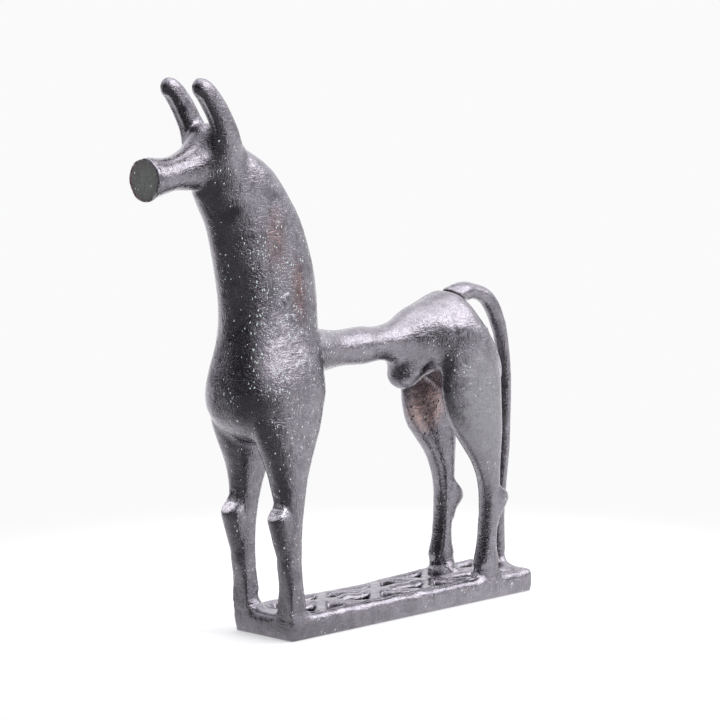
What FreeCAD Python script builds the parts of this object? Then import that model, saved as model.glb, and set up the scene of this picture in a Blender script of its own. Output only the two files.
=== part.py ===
import FreeCAD, Part
import math
import os

"""Bronze horse statuette in the early Greek manner, standing on an openwork base.

The horse faces -X and stands on its base, whose underside is centred on the origin; +Z is up and the
horse's left side is -Y.  It is made as a foundry makes a small hollow bronze: castings with flat joint
faces, held by dowels and pins, with plugs where the cores and their pins were.  All sizes are in mm.
"""


# ---------------------------------------------------------------- base plate
base_length = 115.0
base_width = 27.0
base_thickness = 8.0
base_corner_radius = 1.2
base_edge_radius = 0.9
rim_width = 2.9            # solid border round the openwork
rib_width = 2.7            # bars between the triangular openings
opening_corner_radius = 0.9
openings_per_row = 8
hoof_block_radius = 5.6    # solid plate round the middle of a hoof
tail_block_radius = 4.2    # and round the tail's foot
smallest_opening = 6.0     # mm2; what the solid parts leave of an opening below this is filled
seat_height = 1.0          # raised pads that the hooves and the tail's foot stand on

# ---------------------------------------------------------------- stance
hoof_length = 8.0
hoof_width = 7.2
stance_length = 90.5       # from the forefeet to the hind feet
tail_foot_setback = 3.3    # tail's foot, from the rear end of the base
tail_foot_radius = 3.2
tail_shank_radius = 2.1

# ---------------------------------------------------------------- body
barrel_height = 79.3       # barrel's axis above the soles
barrel_radius = 6.1
barrel_flare = 2.4         # how far the barrel swells where it meets the shoulders
joint_setback = 24.0       # barrel joint, behind the middle of the forefeet
neck_joint_setback = -7.0  # middle of the neck joint, from the middle of the forefeet
neck_joint_height = 126.0  # and above the soles
neck_joint_tilt = 32.0     # degrees from level, lower at the throat

# ---------------------------------------------------------------- castings and their pins
casting_wall = 4.0
core_plug_radius = 3.0
core_pin_radius = 1.0
hoof_pin_radius = 1.5
hoof_pin_rise = 7.0        # pin's length inside the hoof
pin_head_radius = 2.6
pin_head_height = 1.2
dowel_radius = 2.0
dowel_length = 15.0
tail_pin_radius = 1.1
tail_root_pin_foot = 10.6  # above the barrel's axis, short of the rump's cavity
tail_root_pin_setback = 6.0  # ahead of the hind feet
tail_foot_pin_rise = 6.0
plug_reach = 24.0          # longer than any wall that a plug or the tail's root pin goes through
core_pin_height = 98.0     # in the neck, above the soles
core_pin_ahead = 15.0      # in the haunches, ahead of the hind feet
core_pin_rise = 3.4        # and above the barrel's axis
pin_clearance = 0.03
seam_step = 0.4            # the rump starts this far inside the barrel

# ---------------------------------------------------------------- worked out
sole = base_thickness + seat_height
fore_x = -base_length / 2 + hoof_length / 2
hind_x = fore_x + stance_length
leg_y = base_width / 2 - hoof_width / 2
tail_x = base_length / 2 - tail_foot_setback
barrel_z = sole + barrel_height
joint_x = fore_x + joint_setback
ring_points = 16
reach = 400.0              # larger than the whole figure, for half spaces
left, right = -1, 1

X = FreeCAD.Vector(1, 0, 0)
Y = FreeCAD.Vector(0, 1, 0)
Z = FreeCAD.Vector(0, 0, 1)

# Legs: height above the sole; front and back of the section from the foot's middle; outer and inner
# side from the leg's middle line; squareness of the section.
foreleg_sections = [
    (-seat_height, -3.9, 3.9, 3.5, 3.5, 4.0),
    (10.0, -5.4, 2.2, 3.6, 2.6, 3.2),
    (20.0, -6.3, 2.0, 3.6, 2.4, 2.8),
    (30.0, -6.4, 2.8, 3.7, 2.8, 2.8),
    (40.0, -7.6, 4.8, 3.8, 4.4, 2.7),
    (49.0, -10.8, 8.2, 4.2, 6.0, 2.6),
    (57.0, -14.6, 11.6, 4.5, 7.0, 2.5),
    (65.0, -16.4, 13.6, 3.8, 6.4, 2.3),
    (73.0, -12.0, 11.0, 1.0, 5.0, 2.0),
]
knee_sections = [
    (16.0, -6.2, 0.0, 2.4, 1.4, 2.6),
    (20.0, -7.4, 0.0, 3.2, 2.0, 2.6),
    (24.0, -8.6, 0.0, 3.5, 2.4, 2.6),
    (27.6, -9.7, 0.0, 3.7, 2.6, 2.6),
    (30.6, -10.2, 0.0, 3.7, 2.6, 2.6),
    (33.4, -8.6, 0.0, 3.2, 2.4, 2.4),
    (35.8, -6.8, 0.0, 2.2, 1.8, 2.2),
]
hindleg_sections = [
    (-seat_height, -4.8, 4.4, 3.5, 3.5, 3.2),
    (8.0, -3.9, 2.9, 3.4, 2.8, 2.8),
    (16.0, -2.9, 3.4, 3.4, 2.7, 2.6),
    (24.0, -2.8, 4.2, 3.5, 2.7, 2.6),
    (32.0, -4.2, 4.4, 3.7, 3.0, 2.5),
    (40.0, -8.6, 4.9, 4.3, 3.6, 2.4),
    (48.0, -15.4, 5.4, 5.0, 4.2, 2.3),
    (57.0, -20.4, 5.8, 4.9, 4.8, 2.2),
    (66.0, -21.2, 5.6, 4.4, 5.2, 2.2),
    (74.0, -18.6, 3.8, 3.7, 6.0, 2.2),
    (82.0, -13.0, 0.5, 2.0, 6.0, 2.2),
]
hock_sections = [
    (14.0, 0.0, 3.0, 2.2, 2.0, 2.4),
    (18.0, 0.0, 4.8, 3.1, 2.6, 2.4),
    (21.6, 0.0, 7.4, 3.4, 2.8, 2.4),
    (24.6, 0.0, 9.0, 3.5, 2.9, 2.4),
    (27.4, 0.0, 6.6, 3.3, 2.8, 2.4),
    (31.0, 0.0, 4.2, 2.6, 2.4, 2.4),
]
# Chest and neck: height above the sole; front and back from the middle of the forefeet; half width
# beyond the legs' middle lines; squareness.
neck_sections = [
    (53.0, -9.0, 8.0, -2.9, 2.6),
    (60.0, -18.4, 14.8, 3.1, 2.8),
    (67.0, -20.8, 16.9, 4.9, 2.8),
    (75.0, -20.4, 17.0, 4.3, 2.6),
    (84.0, -19.0, 16.8, 2.1, 2.4),
    (94.0, -18.8, 17.2, 0.4, 2.3),
    (104.0, -20.5, 16.6, -0.5, 2.3),
    (114.0, -23.0, 14.2, -1.3, 2.3),
    (122.0, -25.6, 10.8, -1.7, 2.3),
    (129.0, -29.4, 6.0, -1.9, 2.3),
    (136.0, -31.0, 0.4, -2.3, 2.3),
    (141.0, -30.0, -6.0, -3.3, 2.2),
    (146.0, -26.0, -15.0, -5.1, 2.0),
]
neck_cavity_sections = neck_sections[1:8]
# Muzzle and skull: distance ahead of the forefeet; axis height above the sole; half width and height.
head_sections = [
    (51.6, 136.3, 6.5, 6.6),
    (49.6, 136.5, 6.3, 6.4),
    (45.0, 137.0, 5.6, 5.6),
    (40.0, 137.9, 5.3, 5.3),
    (35.0, 139.6, 5.8, 5.8),
    (29.0, 141.4, 7.0, 7.6),
    (22.0, 142.0, 7.6, 8.4),
    (14.0, 139.0, 6.0, 6.0),
]
# Ears: distance ahead of the forefeet; height above the sole; distance from the middle plane; half
# depth; half thickness.
ear_sections = [
    (21.4, 138.0, 4.6, 5.6, 3.3),
    (24.4, 147.0, 6.4, 5.4, 3.2),
    (26.9, 153.0, 7.2, 4.3, 2.7),
    (29.6, 157.4, 7.2, 3.9, 2.7),
    (32.6, 161.2, 7.2, 3.6, 2.6),
    (35.5, 164.0, 7.1, 2.8, 2.2),
    (37.0, 165.2, 7.0, 1.2, 1.0),
]
# Barrel: place as a share of the run from the joint to the hind feet; swell as a share of the flare.
barrel_sections = [
    (-0.21, 1.6),
    (-0.075, 0.6),
    (0.015, 0.1),
    (0.2, 0.0),
    (0.37, 0.0),
    (0.58, 0.0),
]
# Rump: distance behind the hind feet; underside and top from the barrel's axis; half width beyond the
# legs' middle lines; squareness.
rump_sections = [
    (-43.0, seam_step - barrel_radius, barrel_radius - seam_step, barrel_radius - seam_step - leg_y, 2.0),
    (-36.5, -6.4, 7.0, -3.2, 2.0),
    (-31.0, -7.0, 8.9, -2.3, 2.0),
    (-25.0, -8.8, 11.1, -0.8, 2.0),
    (-17.0, -12.4, 13.4, 1.6, 2.1),
    (-10.0, -17.0, 15.0, 3.1, 2.1),
    (-3.0, -21.0, 9.9, 3.3, 2.1),
    (3.0, -22.0, 2.4, 2.1, 2.1),
    (8.0, -20.6, -5.2, -0.9, 2.1),
    (10.4, -17.0, -9.0, -4.9, 2.0),
]
rump_cavity_sections = rump_sections[4:8]
# Boss under the belly: distance behind the hind feet; underside and top from the barrel's axis; half width.
boss_sections = [
    (-35.6, -11.6, -7.4, 2.2),
    (-34.2, -14.2, -5.0, 4.2),
    (-31.5, -15.8, -3.6, 5.2),
    (-27.0, -15.2, -3.0, 5.4),
    (-20.0, -13.0, -2.0, 5.0),
]
# Tail: distance behind the hind feet; height as a share of the barrel's; radius.
tail_sections = [
    (-13.0, 1.110, 3.6),
    (-8.6, 1.145, 4.2),
    (-4.2, 1.166, 3.8),
    (0.8, 1.176, 3.2),
    (5.8, 1.166, 2.7),
    (10.4, 1.136, 2.8),
    (14.1, 1.078, 2.8),
    (16.5, 1.014, 2.7),
    (18.1, 0.944, 2.5),
    (19.4, 0.830, 2.3),
    (19.6, 0.650, 2.3),
    (18.9, 0.450, 2.3),
    (17.6, 0.320, 2.2),
    (17.0, 0.180, 2.1),
]


def ring(centre, side, up, half_side, half_up, power=2.0):
    """Closed curve between an ellipse (power 2) and a rounded rectangle (power 3 and more)."""
    points = []
    for i in range(ring_points):
        angle = 2 * math.pi * i / ring_points
        c = math.copysign(abs(math.cos(angle)) ** (2 / power), math.cos(angle))
        s = math.copysign(abs(math.sin(angle)) ** (2 / power), math.sin(angle))
        points.append(centre + side * (half_side * c) + up * (half_up * s))
    curve = Part.BSplineCurve()
    curve.interpolate(Points=points, PeriodicFlag=True)
    return Part.Wire([curve.toShape()])


def loft(rings):
    return Part.makeLoft(rings, True, False)


def level_ring(x_from, x_to, y_from, y_to, z, power, inset=0.0):
    """Ring in a level plane, given by the four sides that it touches."""
    centre = FreeCAD.Vector((x_from + x_to) / 2, (y_from + y_to) / 2, z)
    return ring(centre, X, Y, (x_to - x_from) / 2 - inset, (y_to - y_from) / 2 - inset, power)


def upright_ring(x, z_from, z_to, half_width, power=2.0, inset=0.0):
    """Ring square to the horse's length, centred between its left and right."""
    centre = FreeCAD.Vector(x, 0, (z_from + z_to) / 2)
    return ring(centre, Y, Z, half_width - inset, (z_to - z_from) / 2 - inset, power)


def fuse(solids):
    return solids[0].fuse(solids[1:])


def half_space(point, normal):
    """Everything on the side of the plane that its normal points to."""
    box = Part.makeBox(reach, reach, reach, FreeCAD.Vector(-reach / 2, -reach / 2, 0))
    box.Placement = FreeCAD.Placement(point, FreeCAD.Rotation(Z, normal))
    return box


def rod(radius, length, middle, direction):
    """Round pin centred on a point."""
    return Part.makeCylinder(radius, length, middle - direction * (length / 2), direction)


# ---------------------------------------------------------------- base plate
def triangle_prism(corners):
    """Opening inside a triangle of rib middle lines, with rounded corners."""
    sides = [(corners[(i + 1) % 3] - corners[i]).Length for i in range(3)]
    perimeter = sum(sides)
    centre = (corners[0] * sides[1] + corners[1] * sides[2] + corners[2] * sides[0]) * (1 / perimeter)
    area = (corners[1] - corners[0]).cross(corners[2] - corners[0]).Length / 2
    inner_radius = 2 * area / perimeter
    shrink = (inner_radius - rib_width / 2) / inner_radius
    outline = [centre + (corner - centre) * shrink for corner in corners]
    face = Part.Face(Part.makePolygon(outline + outline[:1]))
    prism = face.extrude(Z * base_thickness)
    upright = [edge for edge in prism.Edges if abs(edge.tangentAt(edge.FirstParameter).z) > 0.99]
    return prism.makeFillet(opening_corner_radius, upright)


def base_openings(blocks):
    """Two rows of alternate triangles, trimmed round the solid blocks under the feet."""
    span = base_length - 2 * rim_width + rib_width
    pitch = span / (openings_per_row + 1)
    row_depth = base_width / 2 - rim_width + rib_width / 2
    openings = []
    for side in (left, right):
        for i in range(openings_per_row):
            wide, narrow = (row_depth, 0.0) if i % 2 else (0.0, row_depth)
            start = -span / 2 + i * pitch
            corners = [FreeCAD.Vector(start, side * wide, 0),
                       FreeCAD.Vector(start + 2 * pitch, side * wide, 0),
                       FreeCAD.Vector(start + pitch, side * narrow, 0)]
            trimmed = triangle_prism(corners).cut(blocks)
            openings += [solid for solid in trimmed.Solids
                         if solid.Volume > smallest_opening * base_thickness]
    return openings


def base_slab(blocks):
    plate = Part.makeBox(base_length, base_width, base_thickness,
                         FreeCAD.Vector(-base_length / 2, -base_width / 2, 0))
    corners = [edge for edge in plate.Edges if abs(edge.tangentAt(edge.FirstParameter).z) > 0.99]
    plate = plate.makeFillet(base_corner_radius, corners)
    rim = [edge for edge in plate.Edges if edge.BoundBox.ZMin > base_thickness - 0.01]
    plate = plate.makeFillet(base_edge_radius, rim)
    return plate.cut(base_openings(blocks))


# ---------------------------------------------------------------- figure
def leg_ring(section, foot_x, side):
    height, front, back, outer, inner, power = section
    y_from, y_to = sorted((side * (leg_y + outer), side * (leg_y - inner)))
    return level_ring(foot_x + front, foot_x + back, y_from, y_to, sole + height, power)


def leg(sections, foot_x, side):
    return loft([leg_ring(section, foot_x, side) for section in sections])


def legs(shaft, bump, foot_x):
    """Left and right leg, each with the bump of its knee or hock."""
    return [leg(sections, foot_x, side) for side in (left, right) for sections in (shaft, bump)]


def neck(sections, inset=0.0):
    return loft([
        level_ring(fore_x + front, fore_x + back, -leg_y - beyond, leg_y + beyond,
                   sole + height, power, inset)
        for height, front, back, beyond, power in sections
    ])


def rump(sections, inset=0.0):
    return loft([
        upright_ring(hind_x + behind, barrel_z + low, barrel_z + high, leg_y + beyond, power, inset)
        for behind, low, high, beyond, power in sections
    ])


def barrel():
    """Round bar from inside the shoulders to inside the rump, swelling at the shoulder end."""
    run = hind_x - joint_x
    profile = [(joint_x + share * run, swell * barrel_flare) for share, swell in barrel_sections]
    return loft([
        upright_ring(x, barrel_z - barrel_radius - swell, barrel_z + barrel_radius + swell,
                     barrel_radius + swell)
        for x, swell in profile
    ])


def boss():
    return loft([
        upright_ring(hind_x + behind, barrel_z + low, barrel_z + high, half)
        for behind, low, high, half in boss_sections
    ])


def skull():
    return loft([
        upright_ring(fore_x - ahead, sole + height - half_height, sole + height + half_height, half_width)
        for ahead, height, half_width, half_height in head_sections
    ])


def bent_loft(stations):
    """Loft of rings square to a bent line; a station is its point, half depth and half thickness."""
    rings = []
    for i, (point, depth, thickness, power) in enumerate(stations):
        before, after = stations[max(i - 1, 0)][0], stations[min(i + 1, len(stations) - 1)][0]
        run = after - before
        run.y = 0
        run.normalize()
        rings.append(ring(point, FreeCAD.Vector(run.z, 0, -run.x), Y, depth, thickness, power))
    return loft(rings)


def ear(side):
    return bent_loft([
        (FreeCAD.Vector(fore_x - ahead, side * out, sole + height), depth, thickness, 2.4)
        for ahead, height, out, depth, thickness in ear_sections
    ])


def tail():
    stations = [
        (FreeCAD.Vector(hind_x + behind, 0, sole + share * barrel_height), radius, radius, 2.0)
        for behind, share, radius in tail_sections
    ]
    flare = tail_foot_radius - tail_shank_radius
    for height, swell in ((6.0, 0.0), (2.6, 0.3), (0.0, 0.8), (-seat_height, 1.0)):
        radius = tail_shank_radius + swell * flare
        stations.append((FreeCAD.Vector(tail_x, 0, sole + height), radius, radius, 2.0))
    return bent_loft(stations)


# ---------------------------------------------------------------- pins and plugs
def foot_pin(foot, radius, rise, gap=0.0):
    """Pin driven up from the base's underside, with a countersunk head."""
    shank = Part.makeCylinder(radius + gap, sole + rise + gap, foot)
    head = Part.makeCone(pin_head_radius + gap, radius + gap, pin_head_height, foot)
    return shank.fuse(head)


def plug_blanks(gap=0.0):
    """Rods through the core holes and through the holes that the core pins left."""
    radius = core_plug_radius + gap
    chest_floor = sole + neck_sections[1][0]
    rump_floor = barrel_z + rump_sections[5][1]
    under_chest = rod(radius, plug_reach, FreeCAD.Vector(fore_x - 1.0, 0, chest_floor - plug_reach / 4), Z)
    under_rump = rod(radius, plug_reach, FreeCAD.Vector(hind_x - 5.0, 0, rump_floor), Z)
    pins = [rod(core_pin_radius + gap, 2 * base_width, middle, Y) for middle in (
        FreeCAD.Vector(fore_x - 2.0, 0, sole + core_pin_height),
        FreeCAD.Vector(hind_x - core_pin_ahead, 0, barrel_z + core_pin_rise))]
    return under_chest, under_rump, pins


def export(name, shape):
    solids = shape.Solids
    if not solids:
        raise RuntimeError(name + " is empty")
    for solid in solids:
        if not solid.isValid():
            raise RuntimeError(name + " is not a valid solid")
    kept = solids[0] if len(solids) == 1 else Part.makeCompound(solids)
    kept.exportStep("parts/" + name + ".step")
    print(name, len(solids), "solid(s)", round(sum(s.Volume for s in solids)), "mm3")


# ---------------------------------------------------------------- assembly
feet = [FreeCAD.Vector(x, side * leg_y, 0) for x in (fore_x, hind_x) for side in (left, right)]
tail_foot = FreeCAD.Vector(tail_x, 0, 0)
above_soles = half_space(Z * sole, Z)
ahead_of_joint = half_space(FreeCAD.Vector(joint_x, 0, 0), -X)
neck_joint = FreeCAD.Vector(fore_x + neck_joint_setback, 0, sole + neck_joint_height)
tilt = math.radians(neck_joint_tilt)
neck_axis = FreeCAD.Vector(-math.sin(tilt), 0, math.cos(tilt))
above_neck = half_space(neck_joint, neck_axis)

forelegs = legs(foreleg_sections, knee_sections, fore_x)
hindlegs = legs(hindleg_sections, hock_sections, hind_x)
neck_and_head = fuse([neck(neck_sections), skull(), ear(left), ear(right)])
front_bar = barrel().common(ahead_of_joint)
rear_bar = barrel().cut(ahead_of_joint)
neck_cavity = neck(neck_cavity_sections, casting_wall)
rump_cavity = rump(rump_cavity_sections, casting_wall)

front_outside = fuse([neck_and_head.cut(above_neck), front_bar] + forelegs)
rear_outside = fuse([rump(rump_sections), rear_bar, boss()] + hindlegs)
whole_tail = tail()

hoof_pins = [foot_pin(foot, hoof_pin_radius, hoof_pin_rise) for foot in feet]
hoof_holes = [foot_pin(foot, hoof_pin_radius, hoof_pin_rise, pin_clearance) for foot in feet]
tail_foot_pin = foot_pin(tail_foot, tail_pin_radius, tail_foot_pin_rise)
tail_foot_hole = foot_pin(tail_foot, tail_pin_radius, tail_foot_pin_rise, pin_clearance)
neck_dowel = rod(dowel_radius, dowel_length, neck_joint, neck_axis)
neck_socket = rod(dowel_radius + pin_clearance, dowel_length + 2 * pin_clearance, neck_joint, neck_axis)
barrel_joint = FreeCAD.Vector(joint_x, 0, barrel_z)
barrel_dowel = rod(dowel_radius, dowel_length, barrel_joint, X)
barrel_socket = rod(dowel_radius + pin_clearance, dowel_length + 2 * pin_clearance, barrel_joint, X)

chest_plug, rump_plug, core_pins = plug_blanks()
chest_hole, rump_hole, core_pin_holes = plug_blanks(pin_clearance)
front_shell = front_outside.cut(neck_cavity)
rear_shell = rear_outside.cut(rump_cavity)

root_pin_foot = FreeCAD.Vector(hind_x - tail_root_pin_setback, 0, barrel_z + tail_root_pin_foot)
root_pin = Part.makeCylinder(tail_pin_radius, plug_reach, root_pin_foot)
root_hole = Part.makeCylinder(tail_pin_radius + pin_clearance, plug_reach, root_pin_foot - Z * pin_clearance)
tail_casting = whole_tail.cut(rear_outside).common(above_soles)

seats = [shape.cut(above_soles) for shape in forelegs + hindlegs + [whole_tail]]
seats = [seat for seat in seats if seat.Solids]
blocks = [Part.makeCylinder(hoof_block_radius, base_thickness, foot) for foot in feet]
blocks.append(Part.makeCylinder(tail_block_radius, base_thickness, tail_foot))
base_plate = fuse([base_slab(blocks)] + seats).cut(hoof_holes + [tail_foot_hole])

os.makedirs("parts", exist_ok=True)
export("base_plate", base_plate)
export("forequarters", front_shell.common(above_soles).cut(
    hoof_holes[:2] + [neck_socket, barrel_socket, chest_hole] + core_pin_holes[:1]))
export("head", neck_and_head.common(above_neck).cut(neck_socket))
export("hindquarters", rear_shell.common(above_soles).cut(
    hoof_holes[2:] + [barrel_socket, rump_hole, root_hole] + core_pin_holes[1:]))
export("tail", tail_casting.cut([root_hole, tail_foot_hole]))
export("hoof_pins", Part.makeCompound(hoof_pins))
export("tail_root_pin", whole_tail.common(root_pin))
export("tail_foot_pin", tail_foot_pin)
export("neck_dowel", neck_dowel)
export("barrel_dowel", barrel_dowel)
export("chest_core_plug", front_shell.common(chest_plug))
export("rump_core_plug", rear_shell.common(rump_plug))
export("core_pin_plugs", Part.makeCompound(
    [front_shell.common(core_pins[0]), rear_shell.common(core_pins[1])]))
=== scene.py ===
import math

import bmesh
import bpy
import numpy as np
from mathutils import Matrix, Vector, noise


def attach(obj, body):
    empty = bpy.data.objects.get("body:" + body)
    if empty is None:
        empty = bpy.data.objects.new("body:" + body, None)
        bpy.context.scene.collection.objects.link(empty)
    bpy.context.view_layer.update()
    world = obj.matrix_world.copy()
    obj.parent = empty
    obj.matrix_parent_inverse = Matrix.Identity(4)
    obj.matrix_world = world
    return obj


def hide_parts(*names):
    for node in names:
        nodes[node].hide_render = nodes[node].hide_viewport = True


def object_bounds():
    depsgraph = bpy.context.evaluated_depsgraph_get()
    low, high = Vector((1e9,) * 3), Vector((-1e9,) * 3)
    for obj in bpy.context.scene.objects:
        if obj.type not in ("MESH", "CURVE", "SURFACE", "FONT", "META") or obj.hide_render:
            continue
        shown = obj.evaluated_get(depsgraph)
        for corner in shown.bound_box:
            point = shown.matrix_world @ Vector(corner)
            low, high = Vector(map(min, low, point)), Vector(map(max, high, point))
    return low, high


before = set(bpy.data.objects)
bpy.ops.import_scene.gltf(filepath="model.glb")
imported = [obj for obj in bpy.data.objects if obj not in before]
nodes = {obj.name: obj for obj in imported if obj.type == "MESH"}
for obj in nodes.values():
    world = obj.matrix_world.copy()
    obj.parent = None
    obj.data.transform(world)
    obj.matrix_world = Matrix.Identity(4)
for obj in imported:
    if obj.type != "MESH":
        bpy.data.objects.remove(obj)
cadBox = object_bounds()
mm = 0.001
mergeWithin = 1e-7      # metres: points this close are one point


# small helpers for node trees
def link(tree, start, end):
    # joins two sockets, each given as a node and the name or number of its socket
    tree.links.new(start[0].outputs[start[1]], end[0].inputs[end[1]])


def newNode(tree, kind, **values):
    # adds a node; a value is one of its properties, or of its input sockets by name
    node = tree.nodes.new(kind)
    for name, value in values.items():
        if hasattr(node, name):
            setattr(node, name, value)
        else:
            node.inputs[name.replace("_", " ")].default_value = value
    return node


def mathNode(tree, operation, first, second):
    # each side is a number or a (node, socket) pair
    node = newNode(tree, "ShaderNodeMath", operation=operation)
    for i, value in enumerate((first, second)):
        if isinstance(value, tuple):
            link(tree, value, (node, i))
        else:
            node.inputs[i].default_value = value
    return node, 0


def ramp(tree, source, low, high, start=0.0, end=1.0):
    # a smooth step from start to end while the source goes from low to high
    node = newNode(tree, "ShaderNodeMapRange", interpolation_type="SMOOTHSTEP")
    link(tree, source, (node, 0))
    for i, value in enumerate((low, high, start, end)):
        node.inputs[i + 1].default_value = value
    return node, 0


def mixColour(tree, share, first, second):
    # share 0 gives the first colour, 1 the second
    node = newNode(tree, "ShaderNodeMix", data_type="RGBA")
    for socket, value in ((0, share), (6, first), (7, second)):
        if isinstance(value, tuple) and isinstance(value[0], bpy.types.Node):
            link(tree, value, (node, socket))
        else:
            node.inputs[socket].default_value = value
    return node, 2


def mixValue(tree, share, first, second):
    # the same for single numbers
    node = newNode(tree, "ShaderNodeMix", data_type="FLOAT")
    for socket, value in ((0, share), (2, first), (3, second)):
        if isinstance(value, tuple):
            link(tree, value, (node, socket))
        else:
            node.inputs[socket].default_value = value
    return node, 0


def newMaterial(name):
    material = bpy.data.materials.new(name)
    material.use_nodes = True
    material.node_tree.nodes.clear()
    return material, material.node_tree


# camera, floor, lamps and world
view = {
    "lens": 144.99,
    "place": Vector((-675.11, -645.97, 197.3)) * mm,
    "direction": Vector((0.71022184, 0.69331851, -0.12204257)),
    "nearest": 0.01,
}
camera = bpy.data.objects.new("camera", bpy.data.cameras.new("camera"))
camera.data.lens = view["lens"]
camera.data.clip_start = view["nearest"]
camera.location = view["place"]
camera.rotation_mode = "QUATERNION"
camera.rotation_quaternion = view["direction"].to_track_quat("-Z", "Y")
bpy.context.scene.collection.objects.link(camera)
bpy.context.scene.camera = camera
bpy.context.scene.view_settings.view_transform = "Standard"

studio = {
    "floorSize": 3.0,
    "floorHeight": -0.1 * mm,        # a hair under the base, so that the two never share a plane
    "floorColour": (0.86, 0.86, 0.87, 1),
    "white": (0.955, 0.955, 0.962, 1),
    "roomColour": (0.97, 0.965, 1.0, 1),
    "shadowReach": (0.06, 0.22),     # metres over which the floor's shadow fades into the white
    "shadowShare": 0.55,
    "bright": Vector((0.926, 0.163, 0.34)),  # the room is bright this way and dim the other
    "brightEdge": (-0.75, 0.35),     # from fully dim to fully bright
    "wallLight": 1.6,
    "dimLight": 0.06,
    "horizon": (0.02, 0.28, 0.48),   # low down the walls are dimmer: from, to, share there
    "tableLight": 1.5,               # how bright the bronze mirrors the table
    "tableDim": 0.11,                # and what it mirrors beyond the table's end
    "front": Vector((-0.87, -0.49, 0.0)),
    "tableReach": (-0.03, 0.13),     # the table fades out from here to here, towards the front
}


def makeFloor():
    bm = bmesh.new()
    bmesh.ops.create_grid(bm, x_segments=1, y_segments=1, size=studio["floorSize"])
    bmesh.ops.translate(bm, verts=bm.verts, vec=(0, 0, studio["floorHeight"]))
    mesh = bpy.data.meshes.new("floor")
    bm.to_mesh(mesh)
    bm.free()
    floor = bpy.data.objects.new("floor", mesh)
    bpy.context.scene.collection.objects.link(floor)
    material, tree = newMaterial("paleFloor")
    out = newNode(tree, "ShaderNodeOutputMaterial")
    coords = newNode(tree, "ShaderNodeTexCoord")
    path = newNode(tree, "ShaderNodeLightPath")
    away = newNode(tree, "ShaderNodeVectorMath", operation="LENGTH")
    link(tree, (coords, "Object"), (away, 0))
    low, high = studio["shadowReach"]
    clear = ramp(tree, (away, "Value"), low, high, 1 - studio["shadowShare"], 1.0)
    toEye = mathNode(tree, "MULTIPLY", (path, "Is Camera Ray"), clear)
    share = mathNode(tree, "MAXIMUM", toEye, (path, "Is Glossy Ray"))
    ahead = newNode(tree, "ShaderNodeVectorMath", operation="DOT_PRODUCT")
    link(tree, (coords, "Object"), (ahead, 0))
    ahead.inputs[1].default_value = studio["front"]
    low, high = studio["tableReach"]
    past = ramp(tree, (ahead, "Value"), low, high)
    dim = mathNode(tree, "MULTIPLY", past, (path, "Is Glossy Ray"))
    dimColour = (studio["tableDim"],) * 3 + (1,)
    colour = mixColour(tree, dim, studio["white"], dimColour)
    diffuse = newNode(tree, "ShaderNodeBsdfDiffuse", Color=studio["floorColour"])
    seen = newNode(tree, "ShaderNodeEmission")
    glow = ramp(tree, (path, "Is Glossy Ray"), 0.0, 1.0, 1.0, studio["tableLight"])
    link(tree, glow, (seen, "Strength"))
    mixed = newNode(tree, "ShaderNodeMixShader")
    link(tree, colour, (seen, "Color"))
    link(tree, share, (mixed, 0))
    link(tree, (diffuse, 0), (mixed, 1))
    link(tree, (seen, 0), (mixed, 2))
    sides = newNode(tree, "ShaderNodeNewGeometry")     # from below the floor lets the underside be seen
    throughIt = newNode(tree, "ShaderNodeBsdfTransparent")
    eitherSide = newNode(tree, "ShaderNodeMixShader")
    link(tree, (sides, "Backfacing"), (eitherSide, 0))
    link(tree, (mixed, 0), (eitherSide, 1))
    link(tree, (throughIt, 0), (eitherSide, 2))
    link(tree, (eitherSide, 0), (out, "Surface"))
    mesh.materials.append(material)


def makeWorld():
    world = bpy.data.worlds.new("studio")
    bpy.context.scene.world = world
    world.use_nodes = True
    tree = world.node_tree
    tree.nodes.clear()
    out = newNode(tree, "ShaderNodeOutputWorld")
    path = newNode(tree, "ShaderNodeLightPath")
    coords = newNode(tree, "ShaderNodeTexCoord")
    towards = newNode(tree, "ShaderNodeVectorMath", operation="DOT_PRODUCT")
    link(tree, (coords, "Generated"), (towards, 0))
    towards.inputs[1].default_value = studio["bright"]
    strength = ramp(tree, (towards, "Value"), *studio["brightEdge"], studio["dimLight"], studio["wallLight"])
    axes = newNode(tree, "ShaderNodeSeparateXYZ")
    link(tree, (coords, "Generated"), (axes, 0))
    low, high, share = studio["horizon"]
    strength = mathNode(tree, "MULTIPLY", strength, ramp(tree, (axes, "Z"), low, high, share, 1.0))
    room = newNode(tree, "ShaderNodeBackground", Color=studio["roomColour"])
    white = newNode(tree, "ShaderNodeBackground", Color=studio["white"], Strength=1.0)
    mixed = newNode(tree, "ShaderNodeMixShader")
    link(tree, strength, (room, "Strength"))
    link(tree, (path, "Is Camera Ray"), (mixed, 0))
    link(tree, (room, 0), (mixed, 1))
    link(tree, (white, 0), (mixed, 2))
    link(tree, (mixed, 0), (out, "Surface"))


lampAim = Vector((0, 0, 0.09))
lamps = {    # large soft boxes: place, size, power
    "overhead": {"place": (0.15, -0.10, 1.50), "size": (1.4, 1.4), "power": 9.5},
    "key": {"place": (0.74, -0.93, 0.98), "size": (1.6, 1.1), "power": 15.0},
}


def makeLamps():
    for lampName, lamp in lamps.items():
        data = bpy.data.lights.new(lampName, "AREA")
        data.shape = "RECTANGLE"
        data.size, data.size_y = lamp["size"]
        data.energy = lamp["power"]
        obj = bpy.data.objects.new(lampName, data)
        obj.location = lamp["place"]
        obj.rotation_mode = "QUATERNION"
        aim = lampAim - Vector(lamp["place"])
        obj.rotation_quaternion = aim.to_track_quat("-Z", "Y")
        bpy.context.scene.collection.objects.link(obj)


makeFloor()
makeWorld()
makeLamps()
print("stage ready")


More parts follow.
